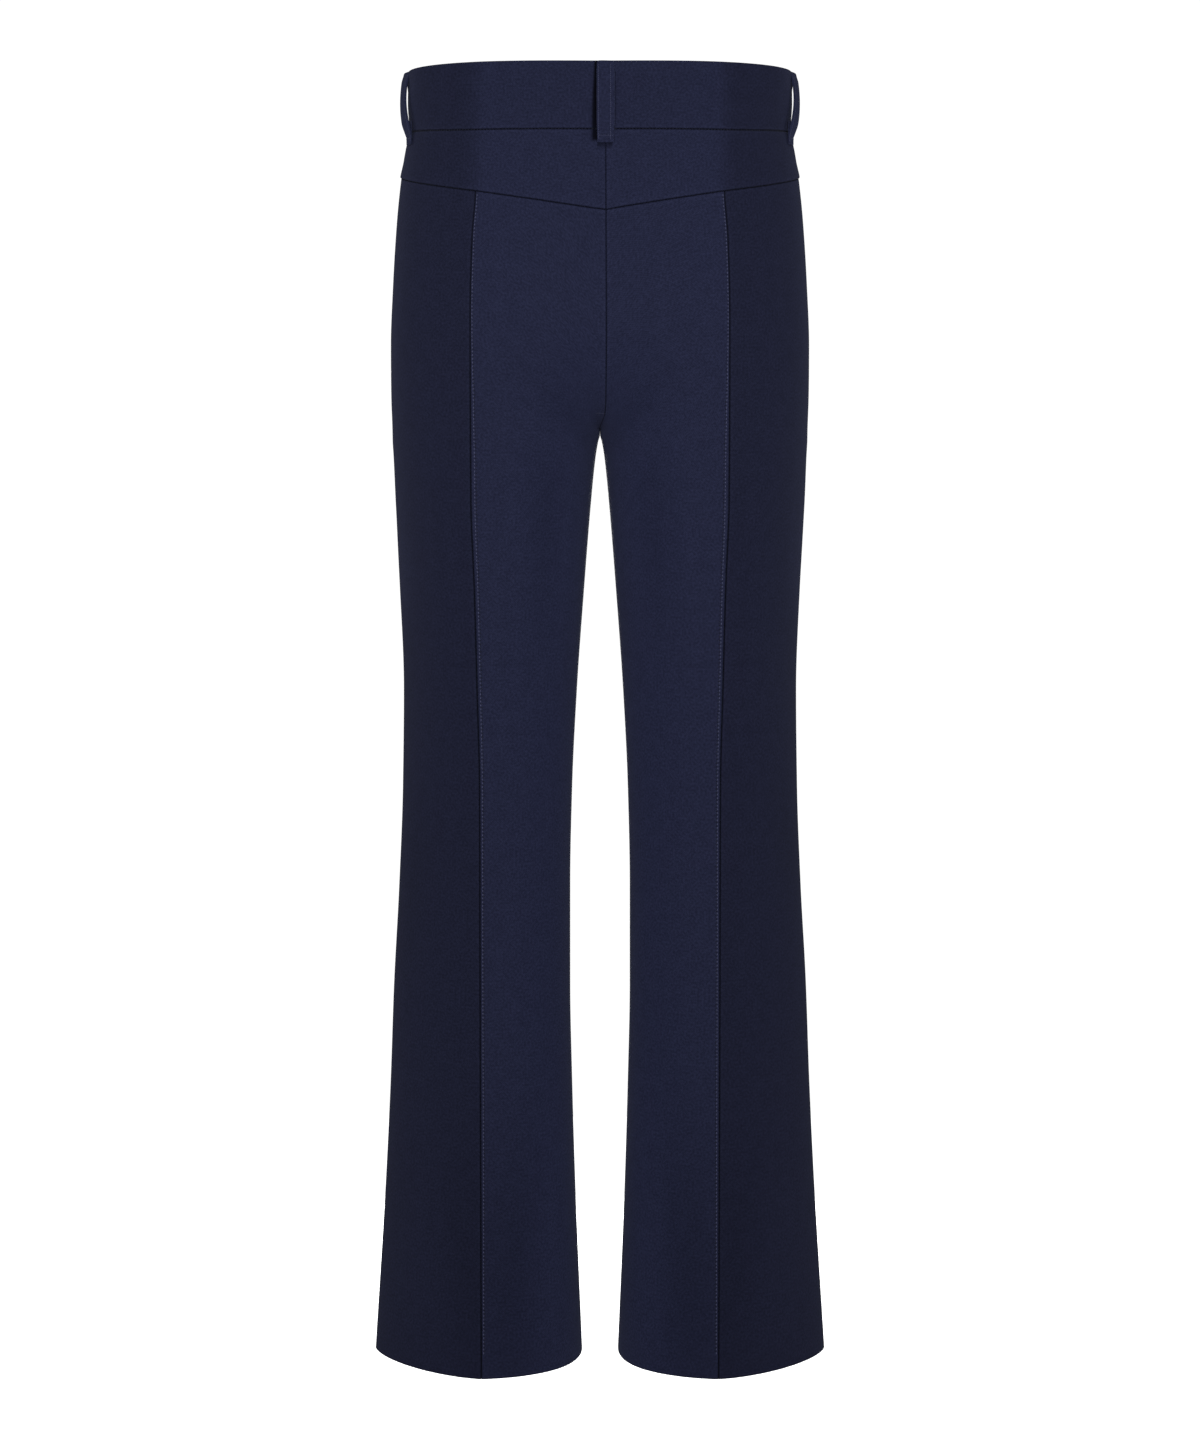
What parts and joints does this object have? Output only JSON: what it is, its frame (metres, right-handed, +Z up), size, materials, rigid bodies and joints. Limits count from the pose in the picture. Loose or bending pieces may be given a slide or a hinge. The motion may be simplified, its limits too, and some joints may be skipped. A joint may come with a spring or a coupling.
{
  "type": "flared trousers, worn form",
  "caption": "Navy flared trousers filled out as if worn, with a V-shaped back yoke, long back seams, a waistband with belt loops and a fly front.",
  "frame": {"origin": "the middle of the waist opening, half way up the waistband, where the wearer's waist holds the trousers up", "axes": "+Z up along the wearer, +Y the way the wearer faces, +X to the wearer's right"},
  "size_m": [0.3678, 0.2335, 1.0607],
  "materials": {
    "suiting": "smooth fine twill suiting, navy, matt with a faint sheen",
    "zip_tape": "woven navy tape",
    "zip_metal": "brushed zip metal",
    "button": "polished navy resin"
  },
  "bodies": {
    "root": {"back_centre_left": "suiting", "back_centre_right": "suiting", "back_side_left": "suiting", "back_side_right": "suiting", "front_left": "suiting", "front_right": "suiting", "yoke_left": "suiting", "yoke_right": "suiting", "waistband_back": "suiting", "waistband_front_left": "suiting", "waistband_front_right": "suiting", "loop_back_centre": "suiting", "loop_side_left": "suiting", "loop_side_right": "suiting", "loop_front_left": "suiting", "loop_front_right": "suiting", "fly_zip": "zip_tape", "zip_slider": "zip_metal", "waist_button": "button"}
  },
  "joints": []
}
